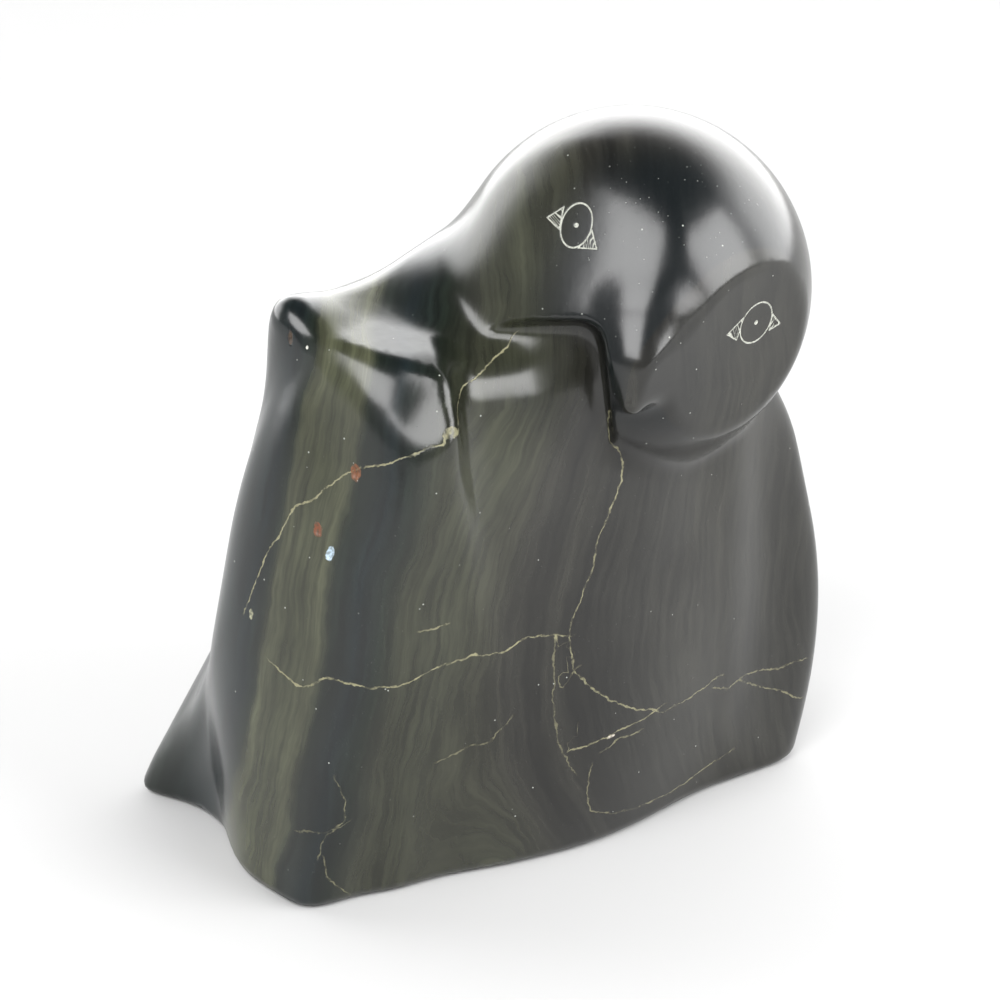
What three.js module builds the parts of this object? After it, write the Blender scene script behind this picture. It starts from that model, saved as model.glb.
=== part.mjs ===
// A small bird carved from one block of banded soapstone, sitting with its head turned and tipped.
//
// Millimetres. The bird's body faces -Y, +X is the bird's left side and +Z is up. The stone is a smooth
// field that is negative inside and zero on the surface: flat cuts leave a slab of wing and a core, round
// masses are laid against them, and each meeting of two is softened by a blend width, as sanding does.

import * as THREE from "three";

// How finely the surface is drawn.
const LATTICE_STEP = 3.5;
const SETTLE_ROUNDS = 4;
const GRADIENT_STEP = 0.05;

// The head, a ball that looks to the bird's right and upward, tipped towards its left shoulder.
const HEAD = { centre: [13.5, -19.7, 91.9], radius: 29.0, turn: 30, lift: 26, tilt: 24 };

// In the head's own frame: x to the bird's left, y to its crown, z the way it faces.
const RIGHT_CHEEK = { faces: [-0.58, -0.08, 0.81], depth: 0.915, blend: 5 };
const LEFT_CHEEK = { faces: [0.64, -0.24, 0.73], depth: 0.845, blend: 0.7 };
const JAW = {
  below: { faces: [0.334, -0.942, -0.042], through: [-11.5, -12.05, 22.0] },
  beside: { faces: [-0.885, -0.43, -0.175], through: [-4.96, -13.85, 24.56] },
  corner: 4.5,
  back: 6,
  backBlend: 4,
  blend: 0.8,
};
const BEAK = {
  root: [0.2, -7.5, 22.6],
  bend: [1.4, -14.5, 23.6],
  tip: [2.0, -20.8, 24.2],
  rootRadius: 5.2,
  bendRadius: 4.4,
  tipRadius: 1.9,
  bendBlend: 3.0,
  blend: 5.0,
  flank: { faces: [0.76, -0.308, 0.573], through: [2.79, -21.5, 24.05] },
  flankBlend: 4.0,
};

// The right wing, a slab that ends in a sharp shoulder, and the core of the body beside it.
const SIDE = {
  upper: { faces: [-0.868, -0.467, 0.169], through: [-37.1, -28.8, 80.4] },
  rear: { faces: [-0.99, 0.03, 0.27], through: [-49.2, 0, 81.7] },
  lower: { faces: [-0.984, 0.1, -0.05], through: [-54.9, -14, 1.7] },
  blend: 14,
};
const FRONT = {
  upper: { faces: [-0.02, -1, 0], through: [-36, -32.7, 61.7] },
  lower: { faces: [-0.18, -0.97, -0.19], through: [-51, -17.5, 1.7] },
  blend: 12,
};
const BACK = {
  upper: { faces: [0.05, 1, 0.35], through: [-45, 6.4, 81.7] },
  lower: { faces: [-0.06, 1, -0.12], through: [-50, 15.4, 31.7] },
  blend: 16,
};
const LEFT = {
  upper: { faces: [0.97, -0.11, 0.23], through: [52.3, -15, 31.7] },
  lower: { faces: [0.97, -0.12, -0.19], through: [52.7, -15, 21.7] },
  blend: 8,
};
const TOP = { faces: [0.048, -0.171, 1], through: [-43, -10, 93.2] };
const BEVEL = { faces: [-0.64, -0.52, 0.57], through: [-36, -28.6, 81.4] };
const WING_INNER = { faces: [0.86, -0.5, 0.1], through: [-31, -30, 80.7] };
const THROAT = { faces: [-0.255, -0.94, 0.22], through: [-12.2, -26.4, 95.0] };
const LEFT_SHOULDER = { faces: [0.6, -0.1, 0.8], through: [45, -5, 73.7] };
const CORE_RIGHT = { faces: [-1, 0, 0], through: [-40, 0, 0] };
const CORE_TOP_DROP = 1;
const WING_EDGE_BLEND = { front: 4, back: 16, top: 3, bevel: 1.2, inner: 3 };
const CORE_EDGE_BLEND = { throat: 6, left: 8, back: 16, top: 5, right: 5, shoulder: 10 };

// The hollow between the breast and the folded left wing.
const LEFT_HOLLOW = { from: [36.8, -41.2, 74.7], to: [36.4, -41.6, 10.9], radii: [9, 8], blend: 8 };

// The round masses laid against the slab and the core.
const BREAST = { centre: [2, -8, 37.2], radii: [39.8, 27.2, 65.6] };
const SHOULDER_RIDGE = { from: [-39.7, 0.1, 94.6], to: [-27.8, 6, 82.8], radii: [1.6, 7.7] };
const NAPE = { from: [10.8, -9.1, 83.8], to: [-17.9, 4.3, 81.4], radii: [19.6, 9.9] };
const NECK = { from: [5, -14, 90], to: [3, -14, 60], radii: [18, 19], throatBlend: 5 };
const BODY_BLEND = { wing: 5, breast: 6, shoulder: 8, tail: 15, neck: 6, nape: 12, head: 3 };

// The tail, a gabled wedge that runs out behind the right wing.
const TAIL = {
  rightSlope: { faces: [-0.73, 0.41, 0.5], through: [-47.5, 31, 7.5] },
  leftSlope: { faces: [0.45, 0.55, 0.7], through: [2, 33, 9.7] },
  rightSide: { faces: [-0.94, -0.35, 0], through: [-48.5, 31.3, 0] },
  leftSide: { faces: [0.93, -0.3, 0.1], through: [4, 33, 0] },
  end: { faces: [0.05, 1, 0.15], through: [-30, 36, 0] },
  start: { faces: [0, -1, 0], through: [0, 0, 0] },
  cornerBlend: 3,
  ridgeBlend: 5,
  startBlend: 4,
};
const UNDERSIDE = { faces: [0, 0, -1], through: [0, 0, 0], blend: 2 };

// The face is drawn more finely than the body, and the beak more finely still, in the head's own frame.
const FINE_ZONES = [
  { centre: [-1, -12, 24], reach: 17 },
  { centre: [0, -17, 22], reach: 10 },
];

/** Field of a flat cut: negative on the side that stays. */
function cut({ faces, through }) {
  const normal = new THREE.Vector3(...faces).normalize();
  const plane = new THREE.Plane().setFromNormalAndCoplanarPoint(normal, new THREE.Vector3(...through));
  return (point) => plane.distanceToPoint(point);
}

/** Union of two fields whose crease is filled over the blend width. */
function join(a, b, blend) {
  const share = THREE.MathUtils.clamp(0.5 + (0.5 * (b - a)) / blend, 0, 1);
  return THREE.MathUtils.lerp(b, a, share) - blend * share * (1 - share);
}

/** What two fields have in common, with the edge between them rounded over the blend width. */
function common(a, b, blend) {
  return -join(-a, -b, blend);
}

/** Field of the two cuts of one side of the stone, met in a soft bulge. */
function pairOfCuts({ upper, lower, blend }) {
  const upperCut = cut(upper);
  const lowerCut = cut(lower);
  return (point) => common(upperCut(point), lowerCut(point), blend);
}

/** Field of an ellipsoid along the axes. */
function ellipsoid({ centre, radii }) {
  const middle = new THREE.Vector3(...centre);
  const radius = new THREE.Vector3(...radii);
  const offset = new THREE.Vector3();
  return (point) => {
    offset.subVectors(point, middle).divide(radius);
    const reach = offset.length();
    const slope = offset.divide(radius).length();
    return (reach * (reach - 1)) / Math.max(slope, 1e-9);
  };
}

/** Field of a round bar that tapers from one ball to another. */
function taperedBar({ from, to, radii }) {
  const start = new THREE.Vector3(...from);
  const axis = new THREE.Vector3(...to).sub(start);
  const length = axis.length();
  axis.normalize();
  const [startRadius, endRadius] = radii;
  const sine = (startRadius - endRadius) / length;
  const cosine = Math.sqrt(1 - sine * sine);
  const offset = new THREE.Vector3();
  return (point) => {
    offset.subVectors(point, start);
    const along = offset.dot(axis);
    const out = Math.sqrt(Math.max(offset.lengthSq() - along * along, 0));
    const foot = along - (out * sine) / cosine;
    if (foot <= 0) return Math.hypot(along, out) - startRadius;
    if (foot >= length) return Math.hypot(along - length, out) - endRadius;
    return out * cosine + along * sine - startRadius;
  };
}

/** Turns a point of the stone into the head's own frame. */
function headFrame() {
  const turn = THREE.MathUtils.degToRad(HEAD.turn);
  const lift = THREE.MathUtils.degToRad(HEAD.lift);
  const tilt = THREE.MathUtils.degToRad(HEAD.tilt);
  const rotation = new THREE.Matrix4().makeRotationZ(-turn);
  rotation.multiply(new THREE.Matrix4().makeRotationX(Math.PI / 2 - lift));
  rotation.multiply(new THREE.Matrix4().makeRotationZ(-tilt));
  const centre = new THREE.Vector3(...HEAD.centre);
  const intoHead = rotation.setPosition(centre).invert();
  return (point) => point.clone().applyMatrix4(intoHead);
}

/** Field of the head: a ball with two flat cheeks, a hooked beak and a notch under the jaw. */
function headField() {
  const cheek = ({ faces, depth }) => {
    const normal = new THREE.Vector3(...faces).normalize();
    return (point) => normal.dot(point) - depth * HEAD.radius;
  };
  const rightCheek = cheek(RIGHT_CHEEK);
  const leftCheek = cheek(LEFT_CHEEK);
  const flank = cut(BEAK.flank);
  const below = cut(JAW.below);
  const beside = cut(JAW.beside);
  const upperBeak = taperedBar({ from: BEAK.root, to: BEAK.bend, radii: [BEAK.rootRadius, BEAK.bendRadius] });
  const lowerBeak = taperedBar({ from: BEAK.bend, to: BEAK.tip, radii: [BEAK.bendRadius, BEAK.tipRadius] });
  const intoHead = headFrame();
  return (stonePoint) => {
    const point = intoHead(stonePoint);
    const ball = common(point.length() - HEAD.radius, rightCheek(point), RIGHT_CHEEK.blend);
    const beak = join(upperBeak(point), lowerBeak(point), BEAK.bendBlend);
    const left = join(leftCheek(point), flank(point), BEAK.flankBlend);
    const face = common(join(ball, beak, BEAK.blend), left, LEFT_CHEEK.blend);
    const corner = common(-below(point), -beside(point), JAW.corner);
    const notch = common(corner, JAW.back - point.z, JAW.backBlend);
    return common(face, -notch, JAW.blend);
  };
}

/** Field of the slab that is the right wing. */
function wingField(front, back) {
  const upper = cut(SIDE.upper);
  const rear = cut(SIDE.rear);
  const lower = cut(SIDE.lower);
  const top = cut(TOP);
  const bevel = cut(BEVEL);
  const inner = cut(WING_INNER);
  return (point) => {
    let field = common(upper(point), rear(point), SIDE.blend);
    field = common(field, lower(point), SIDE.blend);
    field = common(field, front(point), WING_EDGE_BLEND.front);
    field = common(field, back(point), WING_EDGE_BLEND.back);
    field = common(field, top(point), WING_EDGE_BLEND.top);
    field = common(field, bevel(point), WING_EDGE_BLEND.bevel);
    return common(field, inner(point), WING_EDGE_BLEND.inner);
  };
}

/** Field of the core: throat, back and folded left wing. */
function coreField(front, back) {
  const throat = cut(THROAT);
  const left = pairOfCuts(LEFT);
  const top = cut(TOP);
  const right = cut(CORE_RIGHT);
  const shoulder = cut(LEFT_SHOULDER);
  const hollow = taperedBar(LEFT_HOLLOW);
  return (point) => {
    let field = common(front(point), throat(point), CORE_EDGE_BLEND.throat);
    field = common(field, left(point), CORE_EDGE_BLEND.left);
    field = common(field, back(point), CORE_EDGE_BLEND.back);
    field = common(field, top(point) + CORE_TOP_DROP, CORE_EDGE_BLEND.top);
    field = common(field, right(point), CORE_EDGE_BLEND.right);
    field = common(field, shoulder(point), CORE_EDGE_BLEND.shoulder);
    return common(field, -hollow(point), LEFT_HOLLOW.blend);
  };
}

/** Field of the tail wedge. */
function tailField() {
  const rightSlope = cut(TAIL.rightSlope);
  const leftSlope = cut(TAIL.leftSlope);
  const rightSide = cut(TAIL.rightSide);
  const leftSide = cut(TAIL.leftSide);
  const end = cut(TAIL.end);
  const start = cut(TAIL.start);
  return (point) => {
    let field = common(rightSlope(point), leftSlope(point), TAIL.ridgeBlend);
    field = common(field, rightSide(point), TAIL.cornerBlend);
    field = common(field, end(point), TAIL.ridgeBlend);
    field = common(field, leftSide(point), TAIL.ridgeBlend);
    return common(field, start(point), TAIL.startBlend);
  };
}

/** Field of the whole carving. */
function birdField() {
  const front = pairOfCuts(FRONT);
  const back = pairOfCuts(BACK);
  const wing = wingField(front, back);
  const core = coreField(front, back);
  const breast = ellipsoid(BREAST);
  const shoulder = taperedBar(SHOULDER_RIDGE);
  const tail = tailField();
  const neck = taperedBar(NECK);
  const throat = cut(THROAT);
  const nape = taperedBar(NAPE);
  const head = headField();
  const underside = cut(UNDERSIDE);
  return (point) => {
    let field = join(wing(point), core(point), BODY_BLEND.wing);
    field = join(field, breast(point), BODY_BLEND.breast);
    field = join(field, shoulder(point), BODY_BLEND.shoulder);
    field = join(field, tail(point), BODY_BLEND.tail);
    const neckCut = common(neck(point), throat(point), NECK.throatBlend);
    field = join(field, neckCut, BODY_BLEND.neck);
    field = join(field, nape(point), BODY_BLEND.nape);
    field = join(field, head(point), BODY_BLEND.head);
    return common(field, underside(point), UNDERSIDE.blend);
  };
}

/** Moves a point onto the surface of a field, along the field's slope. */
function settle(field, point) {
  const slope = new THREE.Vector3();
  const probe = new THREE.Vector3();
  const step = GRADIENT_STEP;
  for (let round = 0; round < SETTLE_ROUNDS; round += 1) {
    ["x", "y", "z"].forEach((axis) => {
      probe.copy(point)[axis] += step;
      const ahead = field(probe);
      probe.copy(point)[axis] -= step;
      slope[axis] = (ahead - field(probe)) / (2 * step);
    });
    point.addScaledVector(slope, -field(point) / slope.lengthSq());
  }
  return point;
}

/** Draws the zero surface of a field as quads between lattice cells, each cell holding one point. */
function surfaceQuads(field, low, high, step) {
  const size = new THREE.Vector3().subVectors(high, low).divideScalar(step).ceil().addScalar(1);
  const stride = [1, size.x, size.x * size.y];
  const at = (i, j, k) => i + j * stride[1] + k * stride[2];
  const place = (i, j, k) => new THREE.Vector3(i, j, k).multiplyScalar(step).add(low);
  const values = new Float64Array(size.x * size.y * size.z);
  for (let k = 0; k < size.z; k += 1) {
    for (let j = 0; j < size.y; j += 1) {
      for (let i = 0; i < size.x; i += 1) values[at(i, j, k)] = field(place(i, j, k));
    }
  }
  const points = [];
  const cellPoint = new Map();
  const corners = [0, 1, 2, 3, 4, 5, 6, 7].map((bits) => [bits & 1, (bits >> 1) & 1, (bits >> 2) & 1]);
  const pointOfCell = (cell) => {
    const key = at(...cell);
    if (!cellPoint.has(key)) {
      const crossings = [];
      corners.forEach((corner, c) => {
        [1, 2, 4].filter((bit) => !(c & bit)).forEach((bit) => {
          const other = corners[c | bit];
          const a = values[at(cell[0] + corner[0], cell[1] + corner[1], cell[2] + corner[2])];
          const b = values[at(cell[0] + other[0], cell[1] + other[1], cell[2] + other[2])];
          if (a < 0 === b < 0) return;
          const start = new THREE.Vector3(...corner);
          crossings.push(start.lerp(new THREE.Vector3(...other), a / (a - b)));
        });
      });
      const mean = crossings.reduce((sum, crossing) => sum.add(crossing), new THREE.Vector3());
      mean.divideScalar(crossings.length).add(new THREE.Vector3(...cell)).multiplyScalar(step).add(low);
      cellPoint.set(key, points.push(settle(field, mean)) - 1);
    }
    return cellPoint.get(key);
  };
  const quads = [];
  for (let k = 1; k < size.z - 1; k += 1) {
    for (let j = 1; j < size.y - 1; j += 1) {
      for (let i = 1; i < size.x - 1; i += 1) {
        const here = at(i, j, k);
        [0, 1, 2].forEach((axis) => {
          const inside = values[here] < 0;
          if (inside === values[here + stride[axis]] < 0) return;
          const [u, v] = [(axis + 1) % 3, (axis + 2) % 3];
          const ring = [[0, 0], [-1, 0], [-1, -1], [0, -1]].map(([du, dv]) => {
            const cell = [i, j, k];
            cell[u] += du;
            cell[v] += dv;
            return pointOfCell(cell);
          });
          quads.push(inside ? ring : ring.reverse());
        });
      }
    }
  }
  return { points, quads };
}

/** Splits quads into triangles along their shorter diagonal. */
function trianglesOf({ points, quads }) {
  return quads.flatMap(([a, b, c, d]) => {
    const acrossAC = points[a].distanceTo(points[c]) <= points[b].distanceTo(points[d]);
    return acrossAC ? [[a, b, c], [a, c, d]] : [[a, b, d], [b, c, d]];
  });
}

/** Halves every edge whose middle lies in a zone, and cuts the triangles beside it to match. */
function refine(field, points, triangles, inZone) {
  const middles = new Map();
  const middleOf = (a, b) => {
    const key = Math.min(a, b) * points.length + Math.max(a, b);
    if (!middles.has(key)) {
      const middle = points[a].clone().lerp(points[b], 0.5);
      middles.set(key, inZone(middle) ? middle : null);
    }
    return key;
  };
  const keys = triangles.map(([a, b, c]) => [middleOf(a, b), middleOf(b, c), middleOf(c, a)]);
  const added = new Map();
  middles.forEach((middle, key) => {
    if (middle) added.set(key, points.push(settle(field, middle)) - 1);
  });
  return triangles.flatMap((triangle, t) => {
    const split = keys[t].map((key) => added.get(key));
    const count = split.filter((middle) => middle !== undefined).length;
    if (count === 0) return [triangle];
    const turn = [0, 1, 2].find((r) => {
      const first = split[r] !== undefined;
      const last = split[(r + 2) % 3] !== undefined;
      return count === 3 || (count === 1 ? first : first && !last);
    });
    const [a, b, c] = [0, 1, 2].map((n) => triangle[(n + turn) % 3]);
    const [ab, bc, ca] = [0, 1, 2].map((n) => split[(n + turn) % 3]);
    if (count === 1) return [[a, ab, c], [ab, b, c]];
    if (count === 2) return [[ab, b, bc], [a, ab, bc], [a, bc, c]];
    return [[a, ab, ca], [ab, b, bc], [ca, bc, c], [ab, bc, ca]];
  });
}

/** Puts the origin under the middle of the carving, on the surface that it stands on. */
function standOnOrigin(geometry) {
  geometry.computeBoundingBox();
  const { min, max } = geometry.boundingBox;
  geometry.translate(-(min.x + max.x) / 2, -(min.y + max.y) / 2, -min.z);
}

/** Builds the carving's closed surface. */
function carvingGeometry() {
  const field = birdField();
  const low = new THREE.Vector3(-66, -58, -8);
  const high = new THREE.Vector3(64, 46, 130);
  const net = surfaceQuads(field, low, high, LATTICE_STEP);
  const intoHead = headFrame();
  let triangles = trianglesOf(net);
  FINE_ZONES.forEach(({ centre, reach }) => {
    const middle = new THREE.Vector3(...centre);
    const inZone = (point) => intoHead(point).distanceTo(middle) < reach;
    triangles = refine(field, net.points, triangles, inZone);
  });
  const geometry = new THREE.BufferGeometry();
  const coordinates = net.points.flatMap((point) => point.toArray());
  geometry.setAttribute("position", new THREE.Float32BufferAttribute(coordinates, 3));
  geometry.setIndex(triangles.flat());
  standOnOrigin(geometry);
  geometry.computeVertexNormals();
  return geometry;
}

const soapstone = new THREE.MeshStandardMaterial({ color: 0x3f423c, roughness: 0.22, metalness: 0 });
const carving = new THREE.Mesh(carvingGeometry(), soapstone);
carving.name = "bird_carving";

const bird = new THREE.Group();
bird.add(carving);

export default bird;
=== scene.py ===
import logging
import math
from dataclasses import dataclass, field
from enum import Enum
from typing import Any, Callable, Dict, Optional, Sequence, Tuple, Union

import bpy
import numpy as np
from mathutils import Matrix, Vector


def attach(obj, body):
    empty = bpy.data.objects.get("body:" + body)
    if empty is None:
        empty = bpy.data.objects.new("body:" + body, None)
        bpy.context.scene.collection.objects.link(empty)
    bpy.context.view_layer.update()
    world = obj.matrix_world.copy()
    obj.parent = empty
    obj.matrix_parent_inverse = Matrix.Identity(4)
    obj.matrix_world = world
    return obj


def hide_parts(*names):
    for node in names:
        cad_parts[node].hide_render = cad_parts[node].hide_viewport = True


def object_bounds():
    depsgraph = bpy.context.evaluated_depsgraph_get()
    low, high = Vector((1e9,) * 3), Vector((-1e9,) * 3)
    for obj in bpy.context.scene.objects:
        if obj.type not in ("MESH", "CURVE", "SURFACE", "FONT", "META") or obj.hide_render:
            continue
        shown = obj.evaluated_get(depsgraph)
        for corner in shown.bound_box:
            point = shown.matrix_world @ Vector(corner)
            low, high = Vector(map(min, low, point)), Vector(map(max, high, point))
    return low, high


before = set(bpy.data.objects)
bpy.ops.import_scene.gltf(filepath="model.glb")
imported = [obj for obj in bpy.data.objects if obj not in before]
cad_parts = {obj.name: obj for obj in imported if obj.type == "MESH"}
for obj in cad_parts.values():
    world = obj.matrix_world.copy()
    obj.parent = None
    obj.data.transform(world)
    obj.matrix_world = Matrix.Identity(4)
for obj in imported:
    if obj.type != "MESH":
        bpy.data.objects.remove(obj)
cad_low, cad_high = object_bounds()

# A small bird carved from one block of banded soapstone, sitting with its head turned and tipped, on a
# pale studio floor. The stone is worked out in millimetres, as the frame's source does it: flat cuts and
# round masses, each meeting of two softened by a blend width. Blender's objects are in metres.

Triple = Tuple[float, float, float]
Pair = Tuple[float, float]
Array = np.ndarray
Field = Callable[[Array], Array]

LOG = logging.getLogger("soapstone_bird")
NODE = "bird_carving"
BODY = "root"
MM = 0.001


# ---------------------------------------------------------------------------------------------------
# The way the stone's forms are worked out
# ---------------------------------------------------------------------------------------------------


def unit(vector: Sequence[float]) -> Array:
    """The direction of a vector."""
    made = np.array(vector, float)
    return made / np.linalg.norm(made)


def join(a: Array, b: Array, blend: float) -> Array:
    """Union of two fields.

    Args:
        a: first field's values.
        b: second field's values.
        blend: width over which the crease is filled.

    Returns:
        The values of the union.
    """
    share = np.clip(0.5 + 0.5 * (b - a) / blend, 0.0, 1.0)
    return b + (a - b) * share - blend * share * (1.0 - share)


def common(a: Array, b: Array, blend: float) -> Array:
    """What two fields have in common.

    Args:
        a: first field's values.
        b: second field's values.
        blend: width over which the edge is rounded.

    Returns:
        The values of the shared part.
    """
    return -join(-a, -b, blend)


def ease(value: Array, start: float, end: float) -> Array:
    """A smooth step.

    Args:
        value: what is stepped.
        start: where the step is 0.
        end: where the step is 1.

    Returns:
        Values from 0 to 1.
    """
    share = np.clip((value - start) / (end - start), 0.0, 1.0)
    return share * share * (3.0 - 2.0 * share)


@dataclass(frozen=True)
class Cut:
    """A flat cut through the stone, which keeps the side away from where it faces."""

    faces: Triple
    through: Triple

    def field(self, points: Array) -> Array:
        """Distance beyond the cut."""
        return (points - np.array(self.through)) @ unit(self.faces)


@dataclass(frozen=True)
class SideCuts:
    """The two cuts of one side of the stone, met in a soft bulge."""

    upper: Cut
    lower: Cut
    blend: float

    def field(self, points: Array) -> Array:
        """Distance beyond both cuts."""
        return common(self.upper.field(points), self.lower.field(points), self.blend)


@dataclass(frozen=True)
class Mass:
    """A round mass along the axes."""

    centre: Triple
    radii: Triple

    def field(self, points: Array) -> Array:
        """Distance from the mass."""
        offset = (points - np.array(self.centre)) / np.array(self.radii)
        reach = np.linalg.norm(offset, axis=1)
        slope = np.linalg.norm(offset / np.array(self.radii), axis=1)
        return reach * (reach - 1.0) / np.maximum(slope, 1e-9)


@dataclass(frozen=True)
class TaperedBar:
    """A round bar that tapers from one ball to another."""

    start: Triple
    end: Triple
    radii: Pair

    def field(self, points: Array) -> Array:
        """Distance from the bar."""
        start = np.array(self.start)
        span = np.array(self.end) - start
        length = float(np.linalg.norm(span))
        offset = points - start
        along = offset @ (span / length)
        out = np.sqrt(np.maximum((offset * offset).sum(axis=1) - along * along, 0.0))
        sine = (self.radii[0] - self.radii[1]) / length
        cosine = math.sqrt(1.0 - sine * sine)
        foot = along - out * sine / cosine
        near_start = np.hypot(along, out) - self.radii[0]
        near_end = np.hypot(along - length, out) - self.radii[1]
        beside = out * cosine + along * sine - self.radii[0]
        return np.where(foot <= 0.0, near_start, np.where(foot >= length, near_end, beside))


# ---------------------------------------------------------------------------------------------------
# The head
# ---------------------------------------------------------------------------------------------------


@dataclass(frozen=True)
class Cheek:
    """A flat worked on the side of the head, in the head's own frame."""

    faces: Triple
    depth: float
    blend: float


@dataclass(frozen=True)
class Jaw:
    """The notch under the jaw and beside the beak, which stops short of the neck."""

    below: Cut = Cut((0.334, -0.942, -0.042), (-11.5, -12.05, 22.0))
    beside: Cut = Cut((-0.885, -0.43, -0.175), (-4.96, -13.85, 24.56))
    corner: float = 4.5
    back: float = 6.0
    back_blend: float = 4.0
    blend: float = 0.8

    def field(self, points: Array) -> Array:
        """Distance from the notch, in the head's own frame."""
        made = common(-self.below.field(points), -self.beside.field(points), self.corner)
        return common(made, self.back - points[:, 2], self.back_blend)


@dataclass(frozen=True)
class Beak:
    """The hooked beak, two tapered bars laid end to end down the face."""

    root: Triple = (0.2, -7.5, 22.6)
    bend: Triple = (1.4, -14.5, 23.6)
    tip: Triple = (2.0, -20.8, 24.2)
    root_radius: float = 5.2
    bend_radius: float = 4.4
    tip_radius: float = 1.9
    bend_blend: float = 3.0
    blend: float = 5.0
    flank: Cut = Cut((0.76, -0.308, 0.573), (2.79, -21.5, 24.05))
    flank_blend: float = 4.0

    def field(self, points: Array) -> Array:
        """Distance from the beak, in the head's own frame."""
        upper = TaperedBar(self.root, self.bend, (self.root_radius, self.bend_radius))
        lower = TaperedBar(self.bend, self.tip, (self.bend_radius, self.tip_radius))
        return join(upper.field(points), lower.field(points), self.bend_blend)


@dataclass(frozen=True)
class Eye:
    """An eye scratched on a cheek: a ring, a pupil and two hatched corners.

    The corners are triangles in the cheek's plane, in millimetres from the eye's middle: across to the
    bird's left, and up towards its crown.
    """

    middle: Triple
    faces: Triple
    ring: Pair
    lean: float
    corners: Tuple[Tuple[Pair, Pair, Pair], ...]
    line: float = 0.14
    depth: float = 0.10
    pupil: float = 0.42
    hatch_step: float = 0.50
    hatch_line: float = 0.10
    hatch_turn: float = 62.0
    hatch_turn_back: float = 47.0
    plane_reach: float = 3.0

    def flat(self, points: Array) -> Tuple[Array, Array, Array]:
        """Where points of the head's frame lie in the eye's own plane.

        Args:
            points: points in the head's frame.

        Returns:
            Distance across, up and out from the eye's middle.
        """
        out = unit(self.faces)
        up = unit(np.array((0.0, 1.0, 0.0)) - out * out[1])
        across = np.cross(up, out)
        offset = points - np.array(self.middle)
        return offset @ across, offset @ up, offset @ out

    def scratch(self, points: Array) -> Array:
        """How deep the eye's lines are cut, from 0 to 1.

        Args:
            points: points in the head's frame.

        Returns:
            A value per point.
        """
        across, up, out = self.flat(points)
        lean = math.radians(self.lean)
        wide = (across * math.cos(lean) + up * math.sin(lean)) / self.ring[0]
        tall = (up * math.cos(lean) - across * math.sin(lean)) / self.ring[1]
        reach = np.hypot(wide, tall)
        size = 0.5 * (self.ring[0] + self.ring[1])
        ring = 1.0 - ease(np.abs(reach - 1.0) * size, 0.5 * self.line, 1.4 * self.line)
        dot = 1.0 - ease(np.hypot(across, up), 0.7 * self.pupil, 1.2 * self.pupil)
        cut = np.maximum(ring, dot)
        for number, corner in enumerate(self.corners):
            cut = np.maximum(cut, self.corner_scratch(across, up, reach, corner, number))
        return cut * (np.abs(out) < self.plane_reach)

    def corner_scratch(
        self, across: Array, up: Array, reach: Array, corner: Tuple[Pair, Pair, Pair], number: int
    ) -> Array:
        """How deep one corner's outline and hatching are cut.

        Args:
            across: distance across in the eye's plane.
            up: distance up in the eye's plane.
            reach: 1 on the eye's ring.
            corner: the triangle.
            number: the corner's number, which turns its hatching.

        Returns:
            A value per point.
        """
        ends = np.array(corner)
        middle = ends.mean(axis=0)
        inward = np.full(len(across), 1e9)
        for a, b in zip(ends, np.roll(ends, -1, axis=0)):
            side = np.array((-(b - a)[1], (b - a)[0])) / np.linalg.norm(b - a)
            side = side * np.sign((middle - a) @ side)
            inward = np.minimum(inward, (across - a[0]) * side[0] + (up - a[1]) * side[1])
        outline = 1.0 - ease(np.abs(inward), 0.4 * self.line, 1.2 * self.line)
        turn = math.radians(self.hatch_turn - self.hatch_turn_back * number)
        run = across * math.cos(turn) + up * math.sin(turn)
        run = run + 0.25 * np.sin(2.3 * up + 1.7 * across + number)
        strokes = np.abs((run / self.hatch_step) % 1.0 - 0.5) * self.hatch_step
        hatch = 0.75 * (1.0 - ease(strokes, 0.5 * self.hatch_line, 1.6 * self.hatch_line))
        inside = np.maximum(outline, hatch) * (inward > -1.2 * self.line)
        return inside * ease(reach, 0.98, 1.04)


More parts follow.
